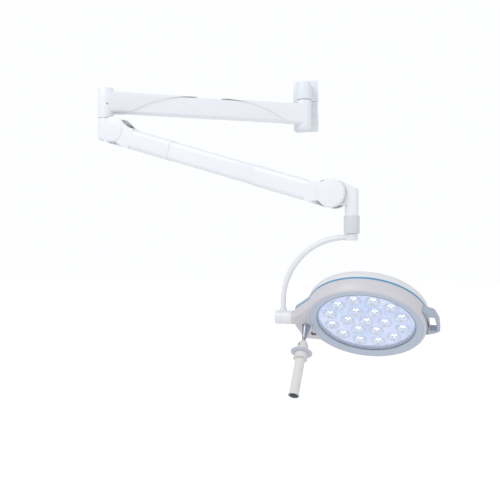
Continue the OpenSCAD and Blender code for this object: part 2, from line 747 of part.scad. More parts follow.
// The quarter circle and its straight leg, as a solid rod of one radius.
module bow_rod(r, extra) {
    turn_x = -bow_reach + bow_r;
    translate([turn_x, 0, 0]) rotate([0, 90, 0]) cylinder(r = r, h = 10 + extra);
    translate([turn_x, 0, -bow_r]) rotate([90, 0, 0]) rotate([0, 0, 90])
        rotate_extrude(angle = 90, $fn = 96) translate([bow_r, 0]) circle(r, $fn = 48);
    translate([-bow_reach, 0, -bow_drop + eye_r - 4 - extra])
        cylinder(r = r, h = bow_drop - bow_r - eye_r + 4 + extra);
}

module bow_tube() color("white") at_bow() translate([0, 0, -bow_line]) difference() {
    bow_rod(bow_tube_r, 0);
    bow_rod(bow_tube_r - bow_wall, past);
}

// Bow's eye: barrel, spigot inside the cap, and the socket of the straight leg.
module bow_eye() color("white") at_tilt() difference() {
    union() {
        along(eye_x, barrel_x) circle(eye_r);
        along(eye_x - 16, eye_x + past) circle(eye_r - 4);
        translate([eye_x, 0, 0]) cylinder(r = bow_tube_r + 2.5, h = eye_r + 8);
    }
    along(eye_x - 30, barrel_x + past) circle(axle_bush_r);
    translate([eye_x, 0, eye_r - 4]) cylinder(r = bow_tube_r, h = 40);
}

module eye_cap() color("white") at_tilt() difference() {
    union() {
        along(eye_x - 22, eye_x - fit_gap) circle(eye_r);
        along(eye_x - 24, eye_x - 22) circle(eye_r - 2);
    }
    along(eye_x - 20, eye_x + past) circle(eye_r - 4 + fit_gap);
    translate([eye_x, 0, 0]) cylinder(r = bow_tube_r + 3, h = 2 * eye_r);
}

module eye_bushes() color("dimgray") at_tilt() for (x = [eye_x - 16, barrel_x - 12])
    along(x, x + 12) difference() {
        circle(axle_bush_r);
        circle(axle_r + run_gap);
    }

// ---- head ----
// Outline of the ear, before it joins the round casing; [x, y, corner radius], clockwise.
ear = [[-120, -132, 8], [-176, -72, 40], [neck_x + 8, -eye_r, 6], [neck_x + 8, eye_r, 6],
    [-223, 40, 20], [-214, 90, 14], [-150, 97, 20], [-100, 130, 8]];

// The same outline moved inwards by a distance.
function inset_corner(a, b, c, d) =
    let (u = unit([a[0] - b[0], a[1] - b[1]]), w = unit([c[0] - b[0], c[1] - b[1]]),
        side = u[0] * w[1] - u[1] * w[0] > 0 ? 1 : -1,
        place = [b[0], b[1]] + side * d / sin(acos(u * w) / 2) * unit(u + w))
    [place[0], place[1], b[2] - side * d];
function inset(corners, d) = [for (i = [0:len(corners) - 1])
    inset_corner(corners[(i + len(corners) - 1) % len(corners)], corners[i],
        corners[(i + 1) % len(corners)], d)];

module ear_outline(d = 0) polygon(rounded(inset(ear, d)));

module head_outline(d = 0) {
    circle(casing_r - d, $fn = 120);
    ear_outline(d);
}

module ring_profile(points) rotate_extrude($fn = 120) polygon(points);

module front_casing() color("gainsboro") at_head() difference() {
    union() {
        difference() {
            casing_form();
            casing_space();
        }
        collar_place(0);
        // lugs for the screws that hold the rear shell
        intersection() {
            screw_ring() translate([-8, -7, 6]) cube([24, 14, back_z - 6.5]);
            cylinder(r = casing_r - 1, h = 60, $fn = 120);
        }
    }
    screw_ring() cylinder(r = 2, h = back_z + past);
    along(neck_x - past, -150) circle(axle_r);
    at_place(-handle_x, handle_y) {
        translate([0, 0, stem_z - past]) cylinder(r = stem_r, h = 20);
        translate([0, 0, stem_z - 2 * collar_rise]) cylinder(r = cone_r + air, h = 2 * collar_rise);
    }
    at_place(key_x, key_y) {
        translate([-key_l / 2, -key_w / 2, stem_z - 5]) cube([key_l, key_w, 24]);
        translate([0, 0, key_pin_z]) across(key_pin_r + run_gap, key_w + 3);
    }
}

// Round place of the handle's collar, moved out by a clearance.
module collar_place(clear) at_place(-handle_x, handle_y) translate([0, 0, stem_z - collar_rise - clear])
    cylinder(r = collar_out + clear, h = collar_rise + clear + past);

module casing_form() {
    translate([0, 0, -front_z]) rotate_extrude($fn = 120) polygon([
        [0, 0], [rim_r, 0], [rim_r + 3, 6], [casing_r, 18], [casing_r, front_z + back_z],
        [0, front_z + back_z]]);
    translate([0, 0, stem_z]) linear_extrude(back_z - stem_z) ear_outline();
    along(neck_x, 8 - casing_r) circle(eye_r);
}

module casing_space() {
    translate([0, 0, -front_z + casing_wall]) rotate_extrude($fn = 120) polygon([
        [0, 0], [rim_r - casing_wall, 0], [rim_r + 3 - casing_wall, 5], [casing_r - casing_wall, 17],
        [casing_r - casing_wall, front_z + back_z], [0, front_z + back_z]]);
    translate([0, 0, -front_z - past]) cylinder(r = rim_r - 6, h = 2 * front_z, $fn = 120);
    translate([0, 0, stem_z + casing_wall]) linear_extrude(back_z * 2 + front_z) intersection() {
        ear_outline(casing_wall);
        translate([-216, -140]) square([200, 280]);
    }
}

module at_place(x, y) translate([x, y, 0]) children();

module trim_ring() color("steelblue") at_head() translate([0, 0, back_z + fit_gap]) difference() {
    linear_extrude(trim_h) head_outline(-0.6);
    translate([0, 0, -past]) linear_extrude(trim_h + 2 * past) head_outline(4);
    translate([0, 0, -back_z - fit_gap]) along(neck_x - past, 20 - casing_r) circle(eye_r + fit_gap);
}

// Rear shell: shallow dome on the round part and a flat lid on the ear.
module rear_shell() color("white") at_head() translate([0, 0, shell_z]) difference() {
    union() {
        dome(casing_r, dome_h);
        linear_extrude(9) ear_outline();
        translate([0, 0, 8]) linear_extrude(4) ear_outline(4);
    }
    difference() {
        union() {
            translate([0, 0, -past]) dome(casing_r - casing_wall, dome_h - casing_wall + past);
            translate([0, 0, -past]) linear_extrude(9) ear_outline(casing_wall);
        }
        screw_ring() cylinder(r = 7, h = dome_h);
    }
    screw_ring() {
        translate([0, 0, -past]) cylinder(r = 2.2, h = dome_h);
        translate([0, 0, screw_seat]) cylinder(r = 4.4, h = dome_h);
    }
    translate([0, 0, -shell_z]) along(neck_x - past, 20 - casing_r) circle(eye_r + fit_gap);
}

// Dome that meets its side with a round shoulder.
module dome(r, h) {
    side = 14;
    steps = 14;
    rotate_extrude($fn = 120) polygon(concat([[0, 0], [r, 0]],
        [for (i = [0:steps]) [r * pow(cos(90 * i / steps), 0.6), side + (h - side) * sin(90 * i / steps)]]));
}

module screw_ring() for (a = [-105:42:105]) rotate([0, 0, a]) translate([171, 0, 0]) children();

module casing_screws() color("gray") at_head() screw_ring() translate([0, 0, shell_z]) difference() {
    union() {
        translate([0, 0, -12]) cylinder(r = 1.95, h = 12 + screw_seat + past);
        translate([0, 0, screw_seat]) cylinder(r = 4, h = 4);
    }
    translate([0, 0, screw_seat + 2]) cylinder(r = 1.6, h = 5, $fn = 6);
}

module bezel() color("lightsteelblue") at_head() difference() {
    ring_profile([
        [window_r + 2, -seat_z - 1.5], [rim_r - 6.2, -front_z], [rim_r - 6.2, -front_z + 3],
        [window_r + 4, -seat_z + 2], [window_r - 4, -seat_z + glass_t + 2 + fit_gap],
        [window_r - 4, -seat_z + glass_t + fit_gap], [window_r + 0.5, -seat_z + glass_t + fit_gap],
        [window_r + 0.5, -seat_z - 1.5]]);
    collar_place(air);
}

module window() color("aliceblue", 0.4) at_head() translate([0, 0, -seat_z])
    cylinder(r = window_r, h = glass_t, $fn = 120);

module window_seal() color("dimgray") at_head() ring_profile([
    [window_r - 1.5, -seat_z - 1.6], [window_r + 0.4, -seat_z - 1.6], [window_r + 0.4, -seat_z + glass_t - 1],
    [window_r + 0.05, -seat_z + glass_t - 1], [window_r + 0.05, -seat_z - 0.05],
    [window_r - 1.5, -seat_z - 0.05]]);

function lens_places() = concat([[0, 0]],
    [for (a = [4:60:304]) ring_1_r * [cos(a), sin(a)]],
    [for (a = [18:30:348]) ring_2_r * [cos(a), sin(a)]]);

module each_lens() for (p = lens_places()) translate([p[0], p[1], 0]) children();

module lens_tray() color("lightsteelblue") at_head() difference() {
    translate([0, 0, -tray_z]) cylinder(r = window_r + 2, h = tray_z + board_z - 1, $fn = 120);
    translate([0, 0, -tray_z + 3]) tray_hollow();
    each_lens() translate([0, 0, -tray_z - past]) cylinder(r = lens_r + fit_gap, h = tray_z + board_z + 3);
}

module tray_hollow() difference() {
    cylinder(r = window_r - 1, h = 40, $fn = 120);
    each_lens() translate([0, 0, -past]) cylinder(r = lens_r + 1.7, h = 50);
}

module lenses() color("azure", 0.5) at_head() each_lens() rotate_extrude() polygon([
    [0, -tray_z - 2.5], [lens_r * 0.45, -tray_z - 2.5], [lens_r * 0.8, -tray_z - 1.2], [lens_r, -tray_z],
    [lens_r, -tray_z + 2], [9, board_z - 4], [4, board_z - 4], [4, board_z - 8], [0, board_z - 8]]);

module led_board() color("seagreen") at_head() {
    translate([0, 0, board_z]) cylinder(r = window_r - 8, h = 2, $fn = 120);
    each_lens() translate([0, 0, board_z - 2]) cylinder(r = 3, h = 2 + past);
}

module heat_sink() color("gray") at_head() translate([0, 0, board_z + 2 + fit_gap]) {
    cylinder(r = window_r - 14, h = 5, $fn = 120);
    intersection() {
        cylinder(r = window_r - 20, h = 22, $fn = 120);
        for (y = [-120:20:120]) translate([-window_r, y - 1, 4]) cube([2 * window_r, 2, 18]);
    }
}

module side_grip() color("lightsteelblue") at_head() translate([0, 0, -12]) difference() {
    linear_extrude(24) polygon(rounded([[150, -78, 4], [casing_r + grip_out - 12, -52, 18],
        [casing_r + grip_out, -8, 60], [casing_r + grip_out, 40, 10], [casing_r + grip_out - 14, 51, 12],
        [150, 74, 4]]));
    translate([0, 0, -past]) linear_extrude(30) polygon(rounded([[casing_r + 3, -33, 3],
        [casing_r + grip_out - grip_bar - 3, -35, 6], [casing_r + grip_out - grip_bar, -6, 40],
        [casing_r + grip_out - grip_bar, 38, 5], [casing_r + 3, 38, 3]]));
    translate([0, 0, -30]) cylinder(r = casing_r + fit_gap, h = 80, $fn = 120);
}

module tilt_axle() color("lightgray") at_head() {
    along(eye_x - 19, -155) circle(axle_r - 0.02);
    along(eye_x - 19, eye_x - 16.3) circle(axle_bush_r + 3);
}

// ---- handle ----
module handle_stem() color("silver") at_handle() rotate_extrude() polygon([
    [0, stem_z + 9], [stem_r - 0.1, stem_z + 9], [stem_r - 0.1, stem_z - 0.1], [cone_r, stem_z - 0.1],
    [cone_r, stem_z - collar_rise - 1], [stem_r + 1, stem_z - cone_len], [stem_r, stem_z - cone_len - 1],
    [stem_r, dome_z - 26], [0, dome_z - 26]]);

module handle_hub() color("ivory") at_handle() difference() {
    union() {
        rotate_extrude() polygon(concat([[0, dome_z - dome_len]],
            [for (i = [0:10]) [dome_r * (1 - 0.52 * pow(i / 10, 2.2)), dome_z - 22 + 2.2 * i]],
            [[0, dome_z]], []));
        translate([0, 0, guard_z]) cylinder(r = dome_r, h = dome_len - 22 + past);
        translate([0, 0, guard_z - lip_len - grip_len + 8])
            cylinder(r = grip_r - 3.2, h = lip_len + grip_len - 8 + past);
    }
    translate([0, 0, dome_z - 27]) cylinder(r = stem_r + run_gap, h = 40);
    button_place() cylinder(r = 3.6, h = 12);
}

module guard_disc() color("lavender") at_handle() translate([0, 0, guard_z]) difference() {
    rotate_extrude($fn = 96) polygon([[0, -fit_gap], [guard_r - 3, -fit_gap], [guard_r, 1.2],
        [guard_r, -0.8], [guard_r - 3, -3], [lip_r - 3, -3.5], [lip_r - 3, -lip_len + 3],
        [lip_r, -lip_len + 1], [lip_r, -lip_len - 2], [0, -lip_len - 2]]);
    translate([0, 0, -2 * lip_len]) cylinder(r = grip_r - 3, h = 3 * lip_len);
}

module grip_sleeve() color("whitesmoke") at_handle() translate([0, 0, sleeve_z + 0.8]) difference() {
    rotate_extrude($fn = 96) polygon([[0, 0], [grip_r, 0], [grip_r, -grip_len + 8],
        [grip_r + 1.8, -grip_len + 2], [grip_r + 1.8, -grip_len], [0, -grip_len]]);
    translate([0, 0, -2 * grip_len]) cylinder(r = grip_r - 3, h = 3 * grip_len);
}

// Frame of the release button: outwards along +Z, the bottom of its hole at the origin.
module button_place() translate([0, 0, dome_z - button_drop]) rotate([0, 0, -90 - button_turn])
    rotate([0, 90, 0]) translate([0, 0, dome_r - 7]) children();

module release_button() color("gray") at_handle() button_place() translate([0, 0, button_travel + 0.5])
    difference() {
        cylinder(r = 3.3, h = 6.4);
        translate([0, 0, 6]) cylinder(r = 2, h = past);
    }

// Rocker key with its pivot pin; two slopes meet in the middle of its face.
module rocker_key() color("dimgray") at_head() translate([key_x, key_y, key_pin_z]) {
    side_plate(-key_w / 2 + key_gap, key_w / 2 - key_gap) polygon([
        [-key_l / 2 + key_gap, -5.6], [0, -4.9], [key_l / 2 - key_gap, -5.6],
        [key_l / 2 - key_gap, 2], [-key_l / 2 + key_gap, 2]]);
    across(key_pin_r, key_w + 2);
}

wall_plate();
bracket_casting();
lower_cover();
bracket_screws();
wall_shaft();
wall_thrust_washer();
wall_retaining_ring();
wall_hub_fitting();
extension_beam();
elbow_hub_fitting();
hub_bushes();
elbow_top_cap();
wall_hub_bottom_cap();
hub_brake_screws();
elbow_knuckle();
elbow_shaft();
elbow_thrust_washer();
elbow_retaining_ring();
arm_tube();
rear_yoke();
front_yoke();
rear_cover();
middle_cover();
front_cover();
side_caps();
rear_pin();
front_pin();
balance_spring();
spring_seat();
levelling_link();
pull_rod();
spring_nut();
front_knuckle();
front_sleeve();
spigot_bushes();
bow_spigot();
spigot_ring();
bow_tube();
bow_eye();
eye_cap();
eye_bushes();
rear_shell();
trim_ring();
front_casing();
bezel();
window();
window_seal();
lens_tray();
lenses();
led_board();
heat_sink();
side_grip();
tilt_axle();
handle_stem();
casing_screws();
handle_hub();
guard_disc();
grip_sleeve();
release_button();
rocker_key();
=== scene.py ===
import bpy
import json
import math
from mathutils import Matrix, Vector

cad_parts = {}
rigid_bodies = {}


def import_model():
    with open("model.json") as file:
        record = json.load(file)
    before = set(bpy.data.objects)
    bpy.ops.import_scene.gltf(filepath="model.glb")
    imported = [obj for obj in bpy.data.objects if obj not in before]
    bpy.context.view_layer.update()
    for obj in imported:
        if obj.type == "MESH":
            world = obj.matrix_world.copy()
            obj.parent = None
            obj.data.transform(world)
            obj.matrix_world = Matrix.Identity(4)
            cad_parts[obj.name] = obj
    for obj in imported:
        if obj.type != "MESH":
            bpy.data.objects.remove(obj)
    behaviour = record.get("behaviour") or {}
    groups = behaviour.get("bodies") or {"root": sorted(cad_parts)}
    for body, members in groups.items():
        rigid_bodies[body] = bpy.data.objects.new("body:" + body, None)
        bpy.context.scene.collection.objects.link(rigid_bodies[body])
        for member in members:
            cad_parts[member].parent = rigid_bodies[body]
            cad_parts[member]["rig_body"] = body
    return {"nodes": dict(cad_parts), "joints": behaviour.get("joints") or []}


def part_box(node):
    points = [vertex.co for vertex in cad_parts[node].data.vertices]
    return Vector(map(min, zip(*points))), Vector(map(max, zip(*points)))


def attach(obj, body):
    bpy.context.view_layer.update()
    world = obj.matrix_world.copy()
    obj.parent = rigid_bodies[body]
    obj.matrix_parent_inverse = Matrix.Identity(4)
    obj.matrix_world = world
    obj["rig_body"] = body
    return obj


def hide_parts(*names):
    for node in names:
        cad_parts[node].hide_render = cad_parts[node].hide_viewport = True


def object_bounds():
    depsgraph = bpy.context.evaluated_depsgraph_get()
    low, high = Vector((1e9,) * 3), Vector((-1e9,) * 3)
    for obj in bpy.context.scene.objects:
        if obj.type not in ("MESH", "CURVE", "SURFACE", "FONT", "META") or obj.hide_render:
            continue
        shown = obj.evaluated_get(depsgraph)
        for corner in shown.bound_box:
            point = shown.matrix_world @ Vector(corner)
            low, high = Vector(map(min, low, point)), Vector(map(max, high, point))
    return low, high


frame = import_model()
cadBox = [list(corner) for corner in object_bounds()]
nodes = frame["nodes"]
joints = {joint["name"]: joint for joint in frame["joints"]}
print("frame loaded:", len(nodes), "nodes")

# ---- camera, light and floor ----
studio = {
    "cameraPlace": (0.415, -3.087, -0.554),
    "cameraTurn": 11.7,         # degrees about the vertical
    "lens": 57.6,
    "sensorWidth": 36.0,
    "floorDrop": 0.85,          # floor below the lowest point
    "floorSize": 60.0,
    "floorColour": (0.12, 0.12, 0.12),
    "floorRough": 0.8,
    "floorGlow": 1.0,           # as the camera sees it
    "floorBounce": 0.72,        # what it throws back on the object
    "sky": (0.985, 0.99, 1.0),
    "skyStrength": 0.74,
    "backdrop": 1.0,            # brightness of the sky behind the object
}
lamps = [                       # name, place, aim, size, watts
    ("keyLamp", (-1.6, -2.6, 1.9), (0.0, -0.4, -0.4), 2.2, 37),
    ("fillLamp", (2.6, -2.4, 0.2), (0.2, -0.5, -0.5), 2.4, 9),
    ("lowLamp", (0.3, -2.3, -1.75), (0.3, -0.6, -0.75), 1.6, 3),
    ("backLamp", (0.4, 2.6, 1.4), (0.1, -0.5, -0.5), 2.0, 14),
]


def deselectAll():
    if bpy.context.object and bpy.context.object.mode != "OBJECT":
        bpy.ops.object.mode_set(mode="OBJECT")
    bpy.ops.object.select_all(action="DESELECT")


def makeActive(piece):
    deselectAll()
    piece.select_set(True)
    bpy.context.view_layer.objects.active = piece


def makeStudio():
    scene = bpy.context.scene
    scene.view_settings.view_transform = "Standard"
    eye = bpy.data.cameras.new("camera")
    eye.lens, eye.sensor_width = studio["lens"], studio["sensorWidth"]
    camera = bpy.data.objects.new("camera", eye)
    camera.location = studio["cameraPlace"]
    camera.rotation_euler = (math.radians(90), 0, math.radians(studio["cameraTurn"]))
    scene.collection.objects.link(camera)
    scene.camera = camera

    sky = bpy.data.worlds.new("softRoom")
    sky.use_nodes = True
    back = sky.node_tree.nodes["Background"]
    back.inputs["Color"].default_value = (*studio["sky"], 1)
    seen = sky.node_tree.nodes.new("ShaderNodeLightPath")
    level = sky.node_tree.nodes.new("ShaderNodeMapRange")
    level.inputs["To Min"].default_value = studio["skyStrength"]
    level.inputs["To Max"].default_value = studio["backdrop"]
    sky.node_tree.links.new(seen.outputs["Is Camera Ray"], level.inputs["Value"])
    sky.node_tree.links.new(level.outputs["Result"], back.inputs["Strength"])
    scene.world = sky

    for name, place, aim, size, watts in lamps:
        light = bpy.data.lights.new(name, "AREA")
        light.size, light.energy = size, watts
        lamp = bpy.data.objects.new(name, light)
        lamp.location = place
        lamp.rotation_euler = (Vector(aim) - Vector(place)).to_track_quat("-Z", "Y").to_euler()
        scene.collection.objects.link(lamp)

    deselectAll()
    low = cadBox[0][2] - studio["floorDrop"]
    bpy.ops.mesh.primitive_plane_add(size=studio["floorSize"], location=(0, 0, low))
    floor = bpy.context.object
    floor.name = "floor"
    bpy.ops.object.transform_apply(location=True, rotation=True, scale=True)
    finish = bpy.data.materials.new("paleFloor")
    finish.use_nodes = True
    shader = finish.node_tree.nodes["Principled BSDF"]
    shader.inputs["Base Color"].default_value = (*studio["floorColour"], 1)
    shader.inputs["Roughness"].default_value = studio["floorRough"]
    shader.inputs["Emission Color"].default_value = (*studio["sky"], 1)
    tree = finish.node_tree
    direct = tree.nodes.new("ShaderNodeLightPath")
    glow = tree.nodes.new("ShaderNodeMapRange")
    glow.inputs["To Min"].default_value = studio["floorBounce"]
    glow.inputs["To Max"].default_value = studio["floorGlow"]
    tree.links.new(direct.outputs["Is Camera Ray"], glow.inputs["Value"])
    tree.links.new(glow.outputs["Result"], shader.inputs["Emission Strength"])
    floor.data.materials.append(finish)
    print("studio ready")


makeStudio()


# ---- shader node groups ----
def newGroup(name, inputs, outputs):
    tree = bpy.data.node_groups.new(name, "ShaderNodeTree")
    for label, kind, value in inputs:
        socket = tree.interface.new_socket(name=label, in_out="INPUT", socket_type=kind)
        if value is not None:
            socket.default_value = value
    for label, kind in outputs:
        tree.interface.new_socket(name=label, in_out="OUTPUT", socket_type=kind)
    start = tree.nodes.new("NodeGroupInput")
    end = tree.nodes.new("NodeGroupOutput")
    start.location, end.location = (-900, 0), (700, 0)
    return tree, start, end


def addNode(tree, kind, place=(0, 0), **settings):
    node = tree.nodes.new(kind)
    node.location = place
    for key, value in settings.items():
        if key in node.inputs.keys():
            node.inputs[key].default_value = value
        else:
            setattr(node, key, value)
    return node


def mathNode(tree, operation, first, second, place=(0, 0), clamp=False):
    node = addNode(tree, "ShaderNodeMath", place, operation=operation, use_clamp=clamp)
    for index, value in enumerate((first, second)):
        if isinstance(value, (int, float)):
            node.inputs[index].default_value = value
        else:
            tree.links.new(value, node.inputs[index])
    return node.outputs[0]


def mixColour(tree, factor, first, second, place=(0, 0), blend="MIX"):
    node = addNode(tree, "ShaderNodeMix", place, data_type="RGBA", blend_type=blend)
    for socket, value in ((node.inputs[0], factor), (node.inputs[6], first), (node.inputs[7], second)):
        if isinstance(value, (int, float, tuple)):
            socket.default_value = value
        else:
            tree.links.new(value, socket)
    return node.outputs[2]


def noiseNode(tree, vector, scale, detail=3.0, place=(0, 0), roughness=0.5):
    node = addNode(tree, "ShaderNodeTexNoise", place, Detail=detail, Roughness=roughness)
    tree.links.new(vector, node.inputs["Vector"])
    if isinstance(scale, (int, float)):
        node.inputs["Scale"].default_value = scale
    else:
        tree.links.new(scale, node.inputs["Scale"])
    return node.outputs["Fac"]


skinPattern = {"cloudScale": 7.0, "speckScale": 260.0, "speckFrom": 0.735, "speckTone": 0.35,
               "wipe": (3.0, 26.0, 9.0), "wipeScale": 2.2, "wipeMiddle": 0.45}
dustPattern = {"upFrom": 0.55, "upTo": 1.0, "patchScale": 34.0, "extraRough": 0.6}
linePattern = {"lineScale": 24.0, "cloudScale": 30.0, "roughSpread": 0.22}


def makeCoatedSkin():
    # sprayed or moulded skin: orange peel, cloudy tone and uneven gloss
    tree, start, end = newGroup("coatedSkin", [
        ("Place", "NodeSocketVector", None), ("Base", "NodeSocketColor", (0.8, 0.8, 0.8, 1)),
        ("Shade", "NodeSocketColor", (0.6, 0.6, 0.6, 1)), ("Cloud", "NodeSocketFloat", 0.4),
        ("Grain", "NodeSocketFloat", 900.0), ("Rough", "NodeSocketFloat", 0.35),
        ("RoughSpread", "NodeSocketFloat", 0.15)],
        [("Colour", "NodeSocketColor"), ("Roughness", "NodeSocketFloat"), ("Height", "NodeSocketFloat")])
    place = start.outputs["Place"]
    clouds = noiseNode(tree, place, skinPattern["cloudScale"], 4.0, (-600, 250))
    specks = noiseNode(tree, place, skinPattern["speckScale"], 2.0, (-600, 50))
    peel = noiseNode(tree, place, start.outputs["Grain"], 2.0, (-600, -150))
    wipe = addNode(tree, "ShaderNodeMapping", (-780, -350), Scale=skinPattern["wipe"])
    tree.links.new(place, wipe.inputs["Vector"])
    streaks = noiseNode(tree, wipe.outputs["Vector"], skinPattern["wipeScale"], 5.0, (-600, -350))
    cloudFactor = mathNode(tree, "MULTIPLY", clouds, start.outputs["Cloud"], (-350, 250))
    toned = mixColour(tree, cloudFactor, start.outputs["Base"], start.outputs["Shade"], (-150, 250))
    chosen = mathNode(tree, "GREATER_THAN", specks, skinPattern["speckFrom"], (-350, 80))
    speckFactor = mathNode(tree, "MULTIPLY", chosen, skinPattern["speckTone"], (-200, 80))
    spotted = mixColour(tree, speckFactor, toned, start.outputs["Shade"], (50, 200))
    swing = mathNode(tree, "SUBTRACT", streaks, skinPattern["wipeMiddle"], (-350, -350))
    spread = mathNode(tree, "MULTIPLY", swing, start.outputs["RoughSpread"], (-150, -350))
    rough = mathNode(tree, "ADD", start.outputs["Rough"], spread, (50, -300), clamp=True)
    tree.links.new(spotted, end.inputs["Colour"])
    tree.links.new(rough, end.inputs["Roughness"])
    tree.links.new(peel, end.inputs["Height"])
    return tree


def makeRestingDust():
    # dust that settles on what faces up
    tree, start, end = newGroup("restingDust", [
        ("Place", "NodeSocketVector", None), ("Colour", "NodeSocketColor", (0.8, 0.8, 0.8, 1)),
        ("Dust", "NodeSocketColor", (0.6, 0.58, 0.54, 1)), ("Amount", "NodeSocketFloat", 0.3),
        ("Roughness", "NodeSocketFloat", 0.3)],
        [("Colour", "NodeSocketColor"), ("Roughness", "NodeSocketFloat")])
    facing = addNode(tree, "ShaderNodeNewGeometry", (-900, 300))
    split = addNode(tree, "ShaderNodeSeparateXYZ", (-700, 300))
    tree.links.new(facing.outputs["Normal"], split.inputs[0])
    up = addNode(tree, "ShaderNodeMapRange", (-520, 300))
    up.inputs["From Min"].default_value = dustPattern["upFrom"]
    up.inputs["From Max"].default_value = dustPattern["upTo"]
    tree.links.new(split.outputs["Z"], up.inputs["Value"])
    patches = noiseNode(tree, start.outputs["Place"], dustPattern["patchScale"], 6.0, (-600, 0), 0.65)
    mask = mathNode(tree, "MULTIPLY", mathNode(tree, "MULTIPLY", up.outputs[0], patches, (-300, 200)),
                    start.outputs["Amount"], (-120, 200), clamp=True)
    tree.links.new(mixColour(tree, mask, start.outputs["Colour"], start.outputs["Dust"], (150, 200)),
                   end.inputs["Colour"])
    rougher = mathNode(tree, "MULTIPLY", mask, dustPattern["extraRough"], (50, -100))
    rough = mathNode(tree, "ADD", start.outputs["Roughness"], rougher, (250, -100), clamp=True)
    tree.links.new(rough, end.inputs["Roughness"])
    return tree


def makeTurnedMetal():
    # fine lathe or brush lines with cloudy gloss
    tree, start, end = newGroup("turnedMetal", [
        ("Place", "NodeSocketVector", None), ("Stretch", "NodeSocketVector", (1.0, 1.0, 60.0)),
        ("Base", "NodeSocketColor", (0.6, 0.6, 0.62, 1)),
        ("Shade", "NodeSocketColor", (0.4, 0.4, 0.42, 1)),
        ("Rough", "NodeSocketFloat", 0.28)],
        [("Colour", "NodeSocketColor"), ("Roughness", "NodeSocketFloat"), ("Height", "NodeSocketFloat")])
    pull = addNode(tree, "ShaderNodeMapping", (-750, 100))
    tree.links.new(start.outputs["Place"], pull.inputs["Vector"])
    tree.links.new(start.outputs["Stretch"], pull.inputs["Scale"])
    lines = noiseNode(tree, pull.outputs["Vector"], linePattern["lineScale"], 6.0, (-550, 100), 0.7)
    clouds = noiseNode(tree, start.outputs["Place"], linePattern["cloudScale"], 3.0, (-550, -150))
    tree.links.new(mixColour(tree, lines, start.outputs["Base"], start.outputs["Shade"], (-150, 200)),
                   end.inputs["Colour"])
    rough = mathNode(tree, "MULTIPLY_ADD", clouds, linePattern["roughSpread"], (-250, -150))
    tree.links.new(start.outputs["Rough"], rough.node.inputs[2])
    tree.links.new(rough, end.inputs["Roughness"])
    tree.links.new(lines, end.inputs["Height"])
    return tree


coatedSkin = makeCoatedSkin()
restingDust = makeRestingDust()
turnedMetal = makeTurnedMetal()


def startMaterial(name):
    material = bpy.data.materials.new(name)
    material.use_nodes = True
    tree = material.node_tree
    shader = tree.nodes["Principled BSDF"]
    shader.location = (600, 0)
    place = addNode(tree, "ShaderNodeTexCoord", (-900, 0)).outputs["Object"]
    return material, tree, shader, place


def bumpInto(tree, shader, height, distance, strength=1.0):
    bump = addNode(tree, "ShaderNodeBump", (350, -300), Distance=distance, Strength=strength)
    tree.links.new(height, bump.inputs["Height"])
    tree.links.new(bump.outputs["Normal"], shader.inputs["Normal"])


skins = {
    # name: base, shade, cloud, grain, rough, spread, bump depth, coat, dust
    "armEnamel": ((0.88, 0.905, 0.945), (0.77, 0.81, 0.87), 0.35, 700, 0.3, 0.22, 0.00012, 0.3, 0.35),
    "bracketEnamel": ((0.84, 0.88, 0.93), (0.72, 0.77, 0.85), 0.4, 650, 0.34, 0.22, 0.00015, 0.25, 0.45),
    "sleevePaint": ((0.72, 0.75, 0.79), (0.6, 0.63, 0.68), 0.45, 800, 0.38, 0.2, 0.0001, 0.1, 0.3),
    "bowEnamel": ((0.82, 0.84, 0.87), (0.7, 0.72, 0.77), 0.35, 800, 0.28, 0.2, 0.0001, 0.4, 0.3),
    "casingPlastic": ((0.66, 0.65, 0.69), (0.54, 0.54, 0.6), 0.4, 1100, 0.36, 0.16, 0.00008, 0.2, 0.15),
    "shellPlastic": ((0.78, 0.79, 0.82), (0.66, 0.68, 0.73), 0.4, 1000, 0.34, 0.18, 0.00009, 0.2, 0.45),
    "trimBlue": ((0.09, 0.33, 0.56), (0.06, 0.24, 0.46), 0.4, 900, 0.22, 0.12, 0.00005, 0.4, 0.25),
    "bezelPlastic": ((0.52, 0.59, 0.7), (0.4, 0.48, 0.61), 0.45, 1000, 0.3, 0.14, 0.00006, 0.2, 0.1),
    "gripPlastic": ((0.42, 0.48, 0.58), (0.32, 0.38, 0.48), 0.45, 1300, 0.33, 0.14, 0.0001, 0.2, 0.2),
    "handlePlastic": ((0.78, 0.78, 0.76), (0.64, 0.64, 0.62), 0.4, 1500, 0.4, 0.16, 0.00012, 0.1, 0.2),
    "discPlastic": ((0.58, 0.59, 0.68), (0.46, 0.47, 0.57), 0.4, 1200, 0.3, 0.14, 0.00008, 0.2, 0.2),
    "keyRubber": ((0.09, 0.1, 0.12), (0.16, 0.17, 0.19), 0.5, 1800, 0.55, 0.2, 0.0002, 0.0, 0.1),
    "sealRubber": ((0.24, 0.28, 0.36), (0.32, 0.36, 0.44), 0.5, 1500, 0.5, 0.2, 0.00015, 0.0, 0.1),
    # painted shade: dark grey for the bore of the grip and for the gap lines at the washers
    "paintedShadeGrey": ((0.16, 0.18, 0.21), (0.24, 0.26, 0.3), 0.5, 1200, 0.5, 0.2, 0.0001, 0.0, 0.0),
    # painted shade for the underside of the handle's lip
    "paintedLipShade": ((0.3, 0.29, 0.27), (0.4, 0.39, 0.37), 0.5, 1200, 0.5, 0.2, 0.0001, 0.0, 0.0),
    "chipDark": ((0.16, 0.17, 0.22), (0.3, 0.31, 0.36), 0.5, 1500, 0.4, 0.2, 0.00005, 0.2, 0.0),
    "boardGreen": ((0.05, 0.2, 0.1), (0.03, 0.12, 0.07), 0.5, 600, 0.4, 0.2, 0.0001, 0.1, 0.1),
}
